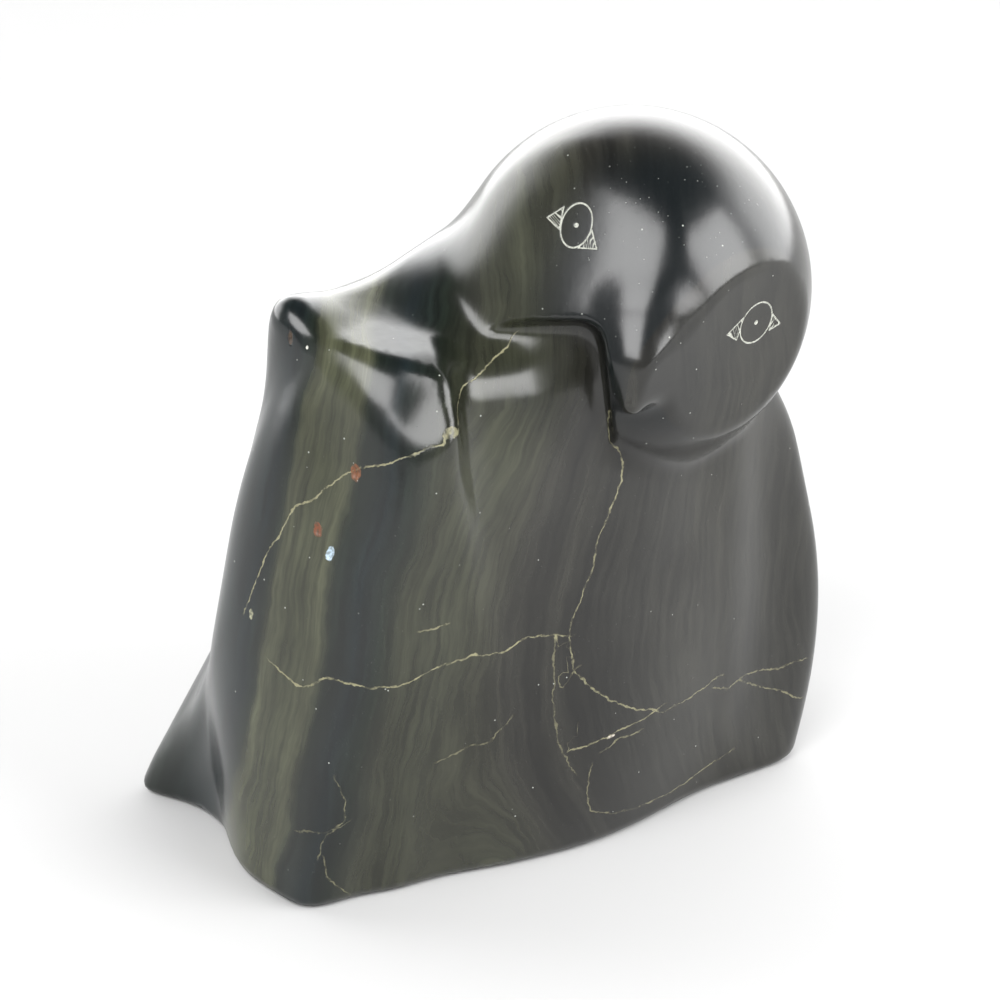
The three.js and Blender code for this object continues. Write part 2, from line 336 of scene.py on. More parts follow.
@dataclass(frozen=True)
class Head:
    """The head: a ball with two flat cheeks, a hollow under the jaw and a hooked beak.

    It looks to the bird's right and upward, and tips towards the bird's left shoulder. In the head's own
    frame x runs to the bird's left, y to its crown and z the way it faces.
    """

    centre: Triple = (13.5, -19.7, 91.9)
    radius: float = 29.0
    turn: float = 30.0
    lift: float = 26.0
    tilt: float = 24.0
    right_cheek: Cheek = Cheek((-0.58, -0.08, 0.81), 0.915, 5.0)
    left_cheek: Cheek = Cheek((0.64, -0.24, 0.73), 0.845, 0.7)
    jaw: Jaw = Jaw()
    beak: Beak = Beak()
    right_eye: Eye = Eye(
        middle=(-14.8, 2.3, 21.9),
        faces=(-0.58, -0.08, 0.81),
        ring=(2.6, 3.55),
        lean=6.0,
        corners=(((-5.3, 0.1), (-3.1, 2.3), (-2.6, -1.2)), ((2.2, 0.7), (4.5, -2.8), (1.6, -3.3))),
    )
    left_eye: Eye = Eye(
        middle=(17.4, -1.4, 17.8),
        faces=(0.64, -0.24, 0.73),
        ring=(3.5, 3.5),
        lean=0.0,
        corners=(((-5.1, -3.9), (-3.5, -0.1), (-2.2, -3.9)), ((2.8, 2.4), (5.7, 1.8), (4.1, 0.0))),
    )

    def turned(self) -> Array:
        """The head's own axes as the columns of a matrix."""
        turn, lift, tilt = (math.radians(a) for a in (-self.turn, 90.0 - self.lift, -self.tilt))
        about_up = np.array(
            ((math.cos(turn), -math.sin(turn), 0), (math.sin(turn), math.cos(turn), 0), (0, 0, 1))
        )
        about_side = np.array(
            ((1, 0, 0), (0, math.cos(lift), -math.sin(lift)), (0, math.sin(lift), math.cos(lift)))
        )
        about_face = np.array(
            ((math.cos(tilt), -math.sin(tilt), 0), (math.sin(tilt), math.cos(tilt), 0), (0, 0, 1))
        )
        return about_up @ about_side @ about_face

    def local(self, points: Array) -> Array:
        """Points of the stone in the head's own frame."""
        return (points - np.array(self.centre)) @ self.turned()

    def world(self, points: Array) -> Array:
        """Points of the head's own frame in the stone."""
        return np.asarray(points, float) @ self.turned().T + np.array(self.centre)

    def field(self, points: Array) -> Array:
        """Distance from the head.

        Args:
            points: points of the stone.

        Returns:
            A value per point, negative inside.
        """
        here = self.local(points)
        right, left = (
            here @ unit(cheek.faces) - cheek.depth * self.radius
            for cheek in (self.right_cheek, self.left_cheek)
        )
        ball = common(np.linalg.norm(here, axis=1) - self.radius, right, self.right_cheek.blend)
        face = join(ball, self.beak.field(here), self.beak.blend)
        left = join(left, self.beak.flank.field(here), self.beak.flank_blend)
        face = common(face, left, self.left_cheek.blend)
        return common(face, -self.jaw.field(here), self.jaw.blend)

    def scratches(self, points: Array) -> Array:
        """How deep the lines of both eyes are cut at points of the stone, from 0 to 1."""
        here = self.local(points)
        return np.maximum(self.right_eye.scratch(here), self.left_eye.scratch(here))


# ---------------------------------------------------------------------------------------------------
# The body
# ---------------------------------------------------------------------------------------------------


@dataclass(frozen=True)
class Sides:
    """The cuts that the wing slab and the core share."""

    front: SideCuts = SideCuts(
        Cut((-0.02, -1, 0), (-36, -32.7, 61.7)), Cut((-0.18, -0.97, -0.19), (-51, -17.5, 1.7)), 12.0
    )
    back: SideCuts = SideCuts(
        Cut((0.05, 1, 0.35), (-45, 6.4, 81.7)), Cut((-0.06, 1, -0.12), (-50, 15.4, 31.7)), 16.0
    )
    top: Cut = Cut((0.048, -0.171, 1), (-43, -10, 93.2))


@dataclass(frozen=True)
class Wing:
    """The right wing, a slab that ends in a sharp shoulder with a bevel on its front corner."""

    upper: Cut = Cut((-0.868, -0.467, 0.169), (-37.1, -28.8, 80.4))
    rear: Cut = Cut((-0.99, 0.03, 0.27), (-49.2, 0, 81.7))
    lower: Cut = Cut((-0.984, 0.1, -0.05), (-54.9, -14, 1.7))
    side_blend: float = 14.0
    bevel: Cut = Cut((-0.64, -0.52, 0.57), (-36.0, -28.6, 81.4))
    inner: Cut = Cut((0.86, -0.5, 0.1), (-31, -30, 80.7))
    front_edge: float = 4.0
    back_edge: float = 16.0
    top_edge: float = 3.0
    inner_edge: float = 3.0
    bevel_edge: float = 1.2

    def field(self, points: Array, front: Array, back: Array, top: Array) -> Array:
        """Distance from the wing.

        Args:
            points: points of the stone.
            front: values of the front cuts there.
            back: values of the back cuts there.
            top: values of the top cut there.

        Returns:
            A value per point, negative inside.
        """
        made = common(self.upper.field(points), self.rear.field(points), self.side_blend)
        made = common(made, self.lower.field(points), self.side_blend)
        made = common(made, front, self.front_edge)
        made = common(made, back, self.back_edge)
        made = common(made, top, self.top_edge)
        made = common(made, self.bevel.field(points), self.bevel_edge)
        return common(made, self.inner.field(points), self.inner_edge)


@dataclass(frozen=True)
class Core:
    """The core of the body: throat, back and folded left wing, with a hollow beside the breast."""

    throat: Cut = Cut((-0.255, -0.94, 0.22), (-12.2, -26.4, 95.0))
    left: SideCuts = SideCuts(
        Cut((0.97, -0.11, 0.23), (52.3, -15, 31.7)), Cut((0.97, -0.12, -0.19), (52.7, -15, 21.7)), 8.0
    )
    right: Cut = Cut((-1, 0, 0), (-40, 0, 0))
    shoulder: Cut = Cut((0.6, -0.1, 0.8), (45, -5, 73.7))
    hollow: TaperedBar = TaperedBar((36.8, -41.2, 74.7), (36.4, -41.6, 10.9), (9.0, 8.0))
    top_drop: float = 1.0
    throat_edge: float = 6.0
    left_edge: float = 8.0
    back_edge: float = 16.0
    top_edge: float = 5.0
    right_edge: float = 5.0
    shoulder_edge: float = 10.0
    hollow_edge: float = 8.0

    def field(self, points: Array, front: Array, back: Array, top: Array) -> Array:
        """Distance from the core.

        Args:
            points: points of the stone.
            front: values of the front cuts there.
            back: values of the back cuts there.
            top: values of the top cut there.

        Returns:
            A value per point, negative inside.
        """
        made = common(front, self.throat.field(points), self.throat_edge)
        made = common(made, self.left.field(points), self.left_edge)
        made = common(made, back, self.back_edge)
        made = common(made, top + self.top_drop, self.top_edge)
        made = common(made, self.right.field(points), self.right_edge)
        made = common(made, self.shoulder.field(points), self.shoulder_edge)
        return common(made, -self.hollow.field(points), self.hollow_edge)


@dataclass(frozen=True)
class Tail:
    """The tail, a gabled wedge that runs out behind the right wing."""

    right_slope: Cut = Cut((-0.73, 0.41, 0.5), (-47.5, 31, 7.5))
    left_slope: Cut = Cut((0.45, 0.55, 0.7), (2, 33, 9.7))
    right_side: Cut = Cut((-0.94, -0.35, 0), (-48.5, 31.3, 0))
    left_side: Cut = Cut((0.93, -0.3, 0.1), (4, 33, 0))
    end: Cut = Cut((0.05, 1, 0.15), (-30, 36, 0))
    start: Cut = Cut((0, -1, 0), (0, 0, 0))
    corner_blend: float = 3.0
    ridge_blend: float = 5.0
    start_blend: float = 4.0

    def field(self, points: Array) -> Array:
        """Distance from the tail."""
        made = common(self.right_slope.field(points), self.left_slope.field(points), self.ridge_blend)
        made = common(made, self.right_side.field(points), self.corner_blend)
        made = common(made, self.end.field(points), self.ridge_blend)
        made = common(made, self.left_side.field(points), self.ridge_blend)
        return common(made, self.start.field(points), self.start_blend)


@dataclass(frozen=True)
class Pit:
    """A small chip or softer grain worn out of the surface."""

    middle: Triple
    radius: float
    length: float
    along: Triple
    depth: float

    def reach(self, points: Array) -> Array:
        """Distance from the pit's middle, 1 on its rim."""
        along = unit(self.along)
        offset = points - np.array(self.middle)
        run = offset @ along
        side = offset - np.outer(run, along)
        return np.sqrt((run / self.length) ** 2 + (side * side).sum(axis=1) / self.radius**2)


@dataclass(frozen=True)
class Bird:
    """The whole carving."""

    sides: Sides = Sides()
    wing: Wing = Wing()
    core: Core = Core()
    breast: Mass = Mass((2, -8, 37.2), (39.8, 27.2, 65.6))
    shoulder_ridge: TaperedBar = TaperedBar((-39.7, 0.1, 94.6), (-27.8, 6, 82.8), (1.6, 7.7))
    nape: TaperedBar = TaperedBar((10.8, -9.1, 83.8), (-17.9, 4.3, 81.4), (19.6, 9.9))
    neck: TaperedBar = TaperedBar((5, -14, 90), (3, -14, 60), (18, 19))
    tail: Tail = Tail()
    head: Head = Head()
    wing_blend: float = 5.0
    breast_blend: float = 6.0
    shoulder_blend: float = 8.0
    tail_blend: float = 15.0
    nape_blend: float = 12.0
    neck_edge: float = 5.0
    neck_blend: float = 6.0
    head_blend: float = 3.0
    underside: Cut = Cut((0, 0, -1), (0, 0, 0))
    underside_blend: float = 2.0
    pits: Tuple[Pit, ...] = (
        Pit((-43.0, -18.9, 75.2), 0.75, 1.15, (0, 0, 1), 0.30),
        Pit((-46.7, -13.9, 65.0), 0.65, 1.15, (0, 0.1, 1), 0.26),
        Pit((-46.4, -16.5, 61.6), 0.62, 1.35, (0, -0.35, 1), 0.30),
        Pit((-42.8, -3.3, 92.6), 0.45, 1.30, (0, 0, 1), 0.30),
    )

    def field(self, points: Array) -> Array:
        """Distance from the plain carving.

        Args:
            points: points of the stone.

        Returns:
            A value per point, negative inside.
        """
        front = self.sides.front.field(points)
        back = self.sides.back.field(points)
        top = self.sides.top.field(points)
        wing = self.wing.field(points, front, back, top)
        core = self.core.field(points, front, back, top)
        made = join(wing, core, self.wing_blend)
        made = join(made, self.breast.field(points), self.breast_blend)
        made = join(made, self.shoulder_ridge.field(points), self.shoulder_blend)
        made = join(made, self.tail.field(points), self.tail_blend)
        neck = common(self.neck.field(points), self.core.throat.field(points), self.neck_edge)
        made = join(made, neck, self.neck_blend)
        made = join(made, self.nape.field(points), self.nape_blend)
        made = join(made, self.head.field(points), self.head_blend)
        return common(made, self.underside.field(points), self.underside_blend)

    def worked(self, points: Array) -> Array:
        """Distance from the carving with its scratched eyes and its pits.

        Args:
            points: points of the stone.

        Returns:
            A value per point, negative inside.
        """
        depth = self.head.right_eye.depth * self.head.scratches(points)
        for pit in self.pits:
            depth = depth + pit.depth * (1.0 - ease(pit.reach(points), 0.45, 1.05))
        return self.field(points) + depth


# ---------------------------------------------------------------------------------------------------
# Drawing the surface
# ---------------------------------------------------------------------------------------------------


@dataclass(frozen=True)
class FineZone:
    """A ball inside which the surface is drawn more finely."""

    middle: Triple
    reach: float
    in_head: bool = True


@dataclass
class Surface:
    """Draws the zero surface of a field as triangles."""

    low: Triple = (-66.0, -58.0, -6.0)
    high: Triple = (64.0, 46.0, 128.0)
    step: float = 1.25
    rounds: int = 4
    probe: float = 0.02
    chunk: int = 150_000
    points: Array = field(default_factory=lambda: np.zeros((0, 3)))
    triangles: Array = field(default_factory=lambda: np.zeros((0, 3), int))

    def values(self, shape: Field, points: Array) -> Array:
        """The field's values, worked out a part at a time."""
        parts = [shape(points[i : i + self.chunk]) for i in range(0, len(points), self.chunk)]
        return np.concatenate(parts)

    def slope(self, shape: Field, points: Array) -> Array:
        """The field's slope at points.

        Args:
            shape: the field.
            points: where it is wanted.

        Returns:
            A vector per point.
        """
        made = np.empty_like(points)
        for axis in range(3):
            shift = np.zeros(3)
            shift[axis] = self.probe
            ahead = self.values(shape, points + shift)
            made[:, axis] = (ahead - self.values(shape, points - shift)) / (2.0 * self.probe)
        return made

    def settle(self, shape: Field, points: Array, rounds: int) -> Array:
        """Moves points onto the field's surface, along its slope.

        Args:
            shape: the field.
            points: points close to the surface.
            rounds: how often they are moved.

        Returns:
            The moved points.
        """
        for _ in range(rounds):
            slope = self.slope(shape, points)
            steep = np.maximum((slope * slope).sum(axis=1), 0.05)
            move = slope * (self.values(shape, points) / steep)[:, None]
            points = points - np.clip(move, -self.step, self.step)
        return points

    def draw(self, shape: Field) -> None:
        """Draws the surface, one point to each lattice cell that it crosses.

        Args:
            shape: the field.
        """
        low = np.array(self.low)
        size = np.ceil((np.array(self.high) - low) / self.step).astype(int) + 1
        axes = [low[a] + self.step * np.arange(size[a]) for a in range(3)]
        lattice = np.stack(np.meshgrid(*axes, indexing="ij"), axis=-1).reshape(-1, 3)
        values = self.values(shape, lattice).reshape(size)
        inside = values < 0.0
        corners = [(i, j, k) for i in (0, 1) for j in (0, 1) for k in (0, 1)]
        reach = size - 1
        count = sum(
            inside[i : i + reach[0], j : j + reach[1], k : k + reach[2]].astype(np.int8)
            for i, j, k in corners
        )
        cells = np.argwhere((count > 0) & (count < 8))
        total = np.zeros((len(cells), 3))
        crossings = np.zeros(len(cells))
        for corner in corners:
            for axis in range(3):
                if corner[axis]:
                    continue
                start = cells + np.array(corner)
                stop = start.copy()
                stop[:, axis] += 1
                a = values[tuple(start.T)]
                b = values[tuple(stop.T)]
                met = (a < 0.0) != (b < 0.0)
                share = np.where(met, a / np.where(met, a - b, 1.0), 0.0)
                place = start.astype(float)
                place[:, axis] += share
                total += place * met[:, None]
                crossings += met
        number = np.full(reach, -1)
        number[tuple(cells.T)] = np.arange(len(cells))
        points = low + self.step * total / crossings[:, None]
        self.points = self.settle(shape, points, self.rounds)
        self.triangles = self.halved(self.quads(inside, number, size))

    def quads(self, inside: Array, number: Array, size: Array) -> Array:
        """The squares between lattice cells.

        Args:
            inside: which lattice points are in the stone.
            number: each cell's point, or -1.
            size: how many lattice points there are along each axis.

        Returns:
            Four point numbers a square, turned outwards.
        """
        made = []
        for axis in range(3):
            u, v = (axis + 1) % 3, (axis + 2) % 3
            here = [slice(1, size[a] - 1) for a in range(3)]
            ahead = list(here)
            ahead[axis] = slice(2, size[axis])
            a = inside[tuple(here)]
            b = inside[tuple(ahead)]
            found = np.argwhere(a != b)
            out = a[tuple(found.T)]
            found = found + 1
            ring = []
            for du, dv in ((0, 0), (-1, 0), (-1, -1), (0, -1)):
                cell = found.copy()
                cell[:, u] += du
                cell[:, v] += dv
                ring.append(number[tuple(cell.T)])
            ring = np.stack(ring, axis=1)
            made.append(np.where(out[:, None], ring, ring[:, ::-1]))
        return np.concatenate(made)

    def halved(self, quads: Array) -> Array:
        """Splits squares into triangles along their shorter diagonal."""
        a, b, c, d = (self.points[quads[:, n]] for n in range(4))
        first = np.linalg.norm(a - c, axis=1) <= np.linalg.norm(b - d, axis=1)
        one = np.where(first[:, None], quads[:, (0, 1, 2)], quads[:, (0, 1, 3)])
        two = np.where(first[:, None], quads[:, (0, 2, 3)], quads[:, (1, 2, 3)])
        return np.concatenate((one, two))

    def refine(self, shape: Field, in_zone: Callable[[Array], Array]) -> None:
        """Halves every edge whose middle lies in a zone, and cuts the triangles beside it to match.

        Args:
            shape: the field that new points settle on.
            in_zone: says which points are in the zone.
        """
        triangles = self.triangles
        edges = np.sort(triangles[:, ((0, 1), (1, 2), (2, 0))].reshape(-1, 2), axis=1)
        edges, back = np.unique(edges, axis=0, return_inverse=True)
        back = back.reshape(-1, 3)
        middles = 0.5 * (self.points[edges[:, 0]] + self.points[edges[:, 1]])
        chosen = in_zone(middles)
        added = np.full(len(edges), -1)
        added[chosen] = len(self.points) + np.arange(int(chosen.sum()))
        fresh = self.settle(shape, middles[chosen], self.rounds)
        self.points = np.concatenate((self.points, fresh))
        split = added[back]
        many = (split >= 0).sum(axis=1)
        first = split[:, 0] >= 0
        second = split[:, 1] >= 0
        third = split[:, 2] >= 0
        turn = np.zeros(len(triangles), int)
        turn[(many == 1) & second] = 1
        turn[(many == 1) & third] = 2
        turn[(many == 2) & second & third] = 1
        turn[(many == 2) & third & first] = 2
        order = (np.arange(3)[None, :] + turn[:, None]) % 3
        a, b, c = np.take_along_axis(triangles, order, axis=1).T
        ab, bc, ca = np.take_along_axis(split, order, axis=1).T
        made = [triangles[many == 0]]
        plans = {
            1: ((a, ab, c), (ab, b, c)),
            2: ((ab, b, bc), (a, ab, bc), (a, bc, c)),
            3: ((a, ab, ca), (ab, b, bc), (ca, bc, c), (ab, bc, ca)),
        }
        for cuts, pieces in plans.items():
            rows = many == cuts
            made += [np.stack([corner[rows] for corner in piece], axis=1) for piece in pieces]
        self.triangles = np.concatenate(made)


# ---------------------------------------------------------------------------------------------------
# The stone's layers and veins
# ---------------------------------------------------------------------------------------------------


@dataclass(frozen=True)
class Layers:
    """The stone's upright bedding, as one coordinate that is the same all over a layer."""

    across: Triple = (0.755, -0.656, 0.0)
    origin: Triple = (0.0, 0.0, 50.0)
    left_lean: float = 0.19
    right_bow: float = 0.0065
    bow_height: float = 38.0
    bow_top: float = 82.0
    lean_to_bow: Pair = (-14.0, 6.0)
    bow_fades: Pair = (14.0, 44.0)
    bow_lost: float = 0.6

    def coordinate(self, points: Array) -> Array:
        """Which layer each point is in.

        Args:
            points: points of the stone.

        Returns:
            Millimetres across the layers.
        """
        offset = points - np.array(self.origin)
        run = offset @ unit(self.across)
        height = points[:, 2]
        lean = self.left_lean * (height - self.origin[2])
        bow = self.right_bow * (np.minimum(height, self.bow_top) - self.bow_height) ** 2
        share = ease(run, *self.lean_to_bow)
        fade = 1.0 - self.bow_lost * ease(run, *self.bow_fades)
        return run - (lean * (1.0 - share) + bow * share * fade)


@dataclass(frozen=True)
class Vein:
    """A hairline vein, as the points that it passes through on the surface."""

    route: Tuple[Triple, ...]
    strength: float = 1.0
    width: float = 1.0


@dataclass(frozen=True)
class VeinSet:
    """Veins that don't touch each other, so one signed distance can draw them all."""

    name: str
    veins: Tuple[Vein, ...]
    reach: float = 2.6
    limit: float = 3.0

    def measure(self, points: Array, normals: Array) -> Tuple[Array, Array]:
        """Measures points against the nearest vein.

        Args:
            points: points of the surface.
            normals: the surface's normals there.

        Returns:
            Signed distance from the vein, and how strongly it shows.
        """
        nearest = np.full(len(points), 1e9)
        signed = np.full(len(points), self.limit)
        shown = np.zeros(len(points))
        for vein in self.veins:
            route = np.array(vein.route, float)
            for part, (a, b) in enumerate(zip(route[:-1], route[1:])):
                span = b - a
                length = np.linalg.norm(span)
                along = span / length
                run = (points - a) @ along
                foot = a + np.outer(np.clip(run, 0.0, length), along)
                offset = points - foot
                far = np.linalg.norm(offset, axis=1)
                side = np.cross(along, normals)
                side = side / np.maximum(np.linalg.norm(side, axis=1), 0.2)[:, None]
                value = (offset * side).sum(axis=1)
                past = np.maximum(-run if part == 0 else 0.0 * run, 0.0)
                if part == len(route) - 2:
                    past = np.maximum(past, run - length)
                show = vein.strength * (1.0 - ease(past, 0.0, 1.2)) * (far < self.reach * 1.6)
                closer = far < nearest
                nearest = np.where(closer, far, nearest)
                signed = np.where(closer, value, signed)
                shown = np.where(closer, show, shown)
        return np.clip(signed, -self.limit, self.limit), shown


# Places on the carving, in millimetres: x to the bird's left, y to its back, z up.
VEIN_SETS: Tuple[VeinSet, ...] = (
    VeinSet(
        "vein_a",
        (
            Vein(((-14, -22, 90.4), (-17, -23, 89), (-26, -25, 87), (-30, -27, 84), (-34, -29, 81),
                  (-38, -27, 79.3), (-42, -21, 76.4))),
            Vein(((-42.6, -19, 75.6), (-43.8, -17, 74.6), (-46.5, -12, 69), (-47.5, -9.5, 68),
                  (-49, -7, 62.3), (-49.8, -5, 59.4), (-51.2, -2, 50.6), (-51.6, -0.6, 48))),
            Vein(((-5, -34, 79), (-2, -34, 73), (-1, -34, 69), (-3, -34, 64), (-6, -34, 59),
                  (-7.4, -34, 53.3), (-11, -34, 46), (-12, -34, 41), (-10.6, -34, 36), (-7.5, -34, 32),
                  (0, -34.7, 26.3), (9, -34.3, 22.4), (15, -33.7, 22.3), (22.9, -32.7, 23.4)), 0.8),
            Vein(((-6.4, -33, 16.5), (-6.4, -32.5, 12), (-5.2, -32, 8), (-0.7, -32, 5.4), (5, -31.8, 4.4),
                  (16, -31, 4), (21, -30.5, 5.2), (28, -30.5, 6.5)), 0.6),
            Vein(((-49.3, -21, 24.3), (-48.3, -21.4, 21), (-48, -20.8, 17), (-50.3, -19.4, 15),
                  (-51.2, -18, 11)), 0.55),
        ),
    ),
    VeinSet(
        "vein_b",
        (
            Vein(((-51.5, -8, 40.8), (-50.8, -13, 39), (-50, -16, 40), (-48.9, -19, 42), (-47, -23, 41.4),
                  (-43, -26, 40.8), (-38.6, -27.5, 41.5), (-34, -28.4, 43), (-28, -29.7, 43),
                  (-23.7, -30.6, 42.4), (-19.5, -31.6, 44), (-12.4, -33.5, 43))),
            Vein(((-10.8, -34, 36), (-12.7, -33.4, 34)), 0.7),
            Vein(((8, -34.4, 23.6), (2, -34.5, 22.6), (-3.2, -34.2, 21.9), (-10.7, -33, 21.4)), 0.8),
            Vein(((25.8, -32, 20.2), (29, -31.5, 20.7), (34.4, -30.8, 17.2), (44, -31.5, 12)), 0.6),
            Vein(((-14.5, -33, 42), (-14.6, -33, 32), (-13, -32.6, 23), (-9.7, -32.6, 17)), 0.4),
            Vein(((-52.6, -15, 14.2), (-50.6, -19, 15), (-47.7, -20.8, 16.3)), 0.4),
        ),
    ),
    VeinSet(
        "vein_c",
        (
            Vein(((21.9, -32.6, 21.7), (25.8, -32, 20.2), (31.7, -31.2, 21), (39.2, -31.2, 19.4),
                  (46, -32, 19.4)), 0.55),
            Vein(((2.9, -34.3, 20.6), (-1.5, -34.2, 20.7), (-4, -34, 19.6)), 0.6),
            Vein(((-37.9, -28.3, 50.3), (-34.2, -29, 50.2)), 0.7),
            Vein(((-21.9, -30.5, 29.5), (-24.7, -29.3, 26.4), (-28.6, -27.9, 25.8),
                  (-33, -26.5, 24.8)), 0.45),
            Vein(((-50.6, -18.5, 9.5), (-49.6, -18.3, 6), (-46, -18.4, 2.2)), 0.5),
        ),
    ),
)


# ---------------------------------------------------------------------------------------------------
# Shader maths
# ---------------------------------------------------------------------------------------------------


Number = Union[int, float]
Operand = Union["Signal", Number]


class Maths(Enum):
    """The Math node's operations that the finishes use."""

    ADD = "ADD"
    SUBTRACT = "SUBTRACT"
    MULTIPLY = "MULTIPLY"
    DIVIDE = "DIVIDE"
    MAXIMUM = "MAXIMUM"
    ABSOLUTE = "ABSOLUTE"


@dataclass
class Signal:
    """A number in a node tree, on which Python's operators add Math nodes."""

    bench: "Bench"
    socket: bpy.types.NodeSocket

    def __add__(self, other: Operand) -> "Signal":
        """Sum."""
        return self.bench.maths(Maths.ADD, self, other)

    __radd__ = __add__

    def __mul__(self, other: Operand) -> "Signal":
        """Product."""
        return self.bench.maths(Maths.MULTIPLY, self, other)

    __rmul__ = __mul__

    def __sub__(self, other: Operand) -> "Signal":
        """Difference."""
        return self.bench.maths(Maths.SUBTRACT, self, other)

    def __rsub__(self, other: Operand) -> "Signal":
        """Difference from a number."""
        return self.bench.maths(Maths.SUBTRACT, other, self)

    def __truediv__(self, other: Operand) -> "Signal":
        """Quotient."""
        return self.bench.maths(Maths.DIVIDE, self, other)

    def __abs__(self) -> "Signal":
        """Size without sign."""
        return self.bench.maths(Maths.ABSOLUTE, self)

    def most(self, other: Operand) -> "Signal":
        """The larger of two."""
        return self.bench.maths(Maths.MAXIMUM, self, other)

    def step(self, start: float, end: float, low: float = 0.0, high: float = 1.0) -> "Signal":
        """A smooth step from low at start to high at end.

        Args:
            start: where the step begins.
            end: where it ends.
            low: its value at start.
            high: its value at end.

        Returns:
            The stepped value.
        """
        if start > end:
            start, end, low, high = end, start, high, low
        made = self.bench.node(
            "ShaderNodeMapRange",
            {"interpolation_type": "SMOOTHSTEP", "clamp": True},
            {"Value": self, "From Min": start, "From Max": end, "To Min": low, "To Max": high},
        )
        return Signal(self.bench, made.outputs["Result"])


@dataclass
class Bench:
    """Adds nodes to one node tree."""

    tree: bpy.types.NodeTree

    def node(
        self, kind: str, settings: Optional[Dict[str, Any]] = None, values: Optional[Dict[Any, Any]] = None
    ) -> bpy.types.Node:
        """Adds a node.

        Args:
            kind: the node's type.
            settings: its properties, which are set first; a ramp's stops are under "stops".
            values: what goes into its sockets, by name or number: a signal, a socket or a value.

        Returns:
            The node.
        """
        made = self.tree.nodes.new(kind)
        for name, value in (settings or {}).items():
            if name == "stops":
                self.set_stops(made, value)
            else:
                setattr(made, name, value)
        for name, value in (values or {}).items():
            socket = made.inputs[name]
            if isinstance(value, Signal):
                value = value.socket
            if isinstance(value, bpy.types.NodeSocket):
                self.tree.links.new(value, socket)
            else:
                socket.default_value = value
        return made

    def set_stops(self, ramp: bpy.types.Node, stops: Sequence[Tuple[float, Triple]]) -> None:
        """Gives a colour ramp its stops.

        Args:
            ramp: the ramp's node.
            stops: place and colour of each.
        """
        elements = ramp.color_ramp.elements
        while len(elements) < len(stops):
            elements.new(1.0)
        for element, (place, colour) in zip(elements, stops):
            element.position = place
            element.color = (*colour, 1.0)

    def maths(self, kind: Maths, a: Operand, b: Optional[Operand] = None) -> Signal:
        """Adds a Math node.

        Args:
            kind: its operation.
            a: first value.
            b: second value, if it has one.

        Returns:
            The result.
        """
        values: Dict[Any, Any] = {0: a}
        if b is not None:
            values[1] = b
        made = self.node("ShaderNodeMath", {"operation": kind.value}, values)
        return Signal(self, made.outputs[0])

    def attribute(self, name: str) -> Signal:
        """A number stored on the mesh."""
        made = self.node("ShaderNodeAttribute", {"attribute_name": name})
        return Signal(self, made.outputs["Fac"])

    def vector(self, kind: str, a: Any, b: Any = None, scale: Optional[float] = None) -> bpy.types.NodeSocket:
        """Adds a Vector Math node.

        Args:
            kind: its operation.
            a: first vector.
            b: second vector, if it has one.
            scale: its scale, if it has one.

        Returns:
            The resulting vector.
        """
        values: Dict[Any, Any] = {0: a}
        if b is not None:
            values[1] = b
        if scale is not None:
            values["Scale"] = scale
        return self.node("ShaderNodeVectorMath", {"operation": kind}, values).outputs["Vector"]

    def length(self, vector: bpy.types.NodeSocket) -> Signal:
        """How long a vector is."""
        made = self.node("ShaderNodeVectorMath", {"operation": "LENGTH"}, {0: vector})
        return Signal(self, made.outputs["Value"])

    def dot(self, vector: bpy.types.NodeSocket, way: Sequence[float]) -> Signal:
        """How far a vector reaches along a direction."""
        values = {0: vector, 1: tuple(float(v) for v in way)}
        made = self.node("ShaderNodeVectorMath", {"operation": "DOT_PRODUCT"}, values)
        return Signal(self, made.outputs["Value"])

    def combine(self, x: Operand, y: Operand, z: Operand) -> bpy.types.NodeSocket:
        """Puts three numbers together as a vector."""
        return self.node("ShaderNodeCombineXYZ", {}, {"X": x, "Y": y, "Z": z}).outputs[0]

    def noise(
        self, place: bpy.types.NodeSocket, scale: float, detail: float = 2.0, rough: float = 0.5
    ) -> Signal:
        """Smooth noise from 0 to 1.

        Args:
            place: where it is read.
            scale: how fine it is.
            detail: how many octaves it has.
            rough: how strong the finer octaves are.

        Returns:
            The noise.
        """
        made = self.node(
            "ShaderNodeTexNoise",
            {"noise_dimensions": "3D"},
            {"Vector": place, "Scale": scale, "Detail": detail, "Roughness": rough},
        )
        return Signal(self, made.outputs["Fac"])

    def mix(self, share: Operand, a: Any, b: Any, kind: str = "MIX") -> bpy.types.NodeSocket:
        """Mixes two colours.

        Args:
            share: how much of the second.
            a: first colour, a triple or a socket.
            b: second colour, a triple or a socket.
            kind: how they are blended.

        Returns:
            The mixed colour.
        """
        as_colour = [(*c, 1.0) if isinstance(c, tuple) else c for c in (a, b)]
        made = self.node(
            "ShaderNodeMix",
            {"data_type": "RGBA", "blend_type": kind, "clamp_factor": True},
            {0: share, 6: as_colour[0], 7: as_colour[1]},
        )
        return made.outputs[2]


# ---------------------------------------------------------------------------------------------------
# Finishes
# ---------------------------------------------------------------------------------------------------


def new_material(name: str) -> Tuple[bpy.types.Material, Bench]:
    """Makes an empty material.

    Args:
        name: its name.

    Returns:
        The material, and the bench that adds its nodes.
    """
    made = bpy.data.materials.new(name)
    made.use_nodes = True
    made.node_tree.nodes.clear()
    return made, Bench(made.node_tree)


@dataclass(frozen=True)
class Band:
    """One colour of the stone, at its place across the layers."""

    place: float
    colour: Triple


@dataclass(frozen=True)
class Mark:
    """A stain or fleck of another colour on the surface, in millimetres on the carving."""

    middle: Triple
    radius: float
    length: float
    colour: Triple
    along: Triple = (0.0, 0.0, 1.0)


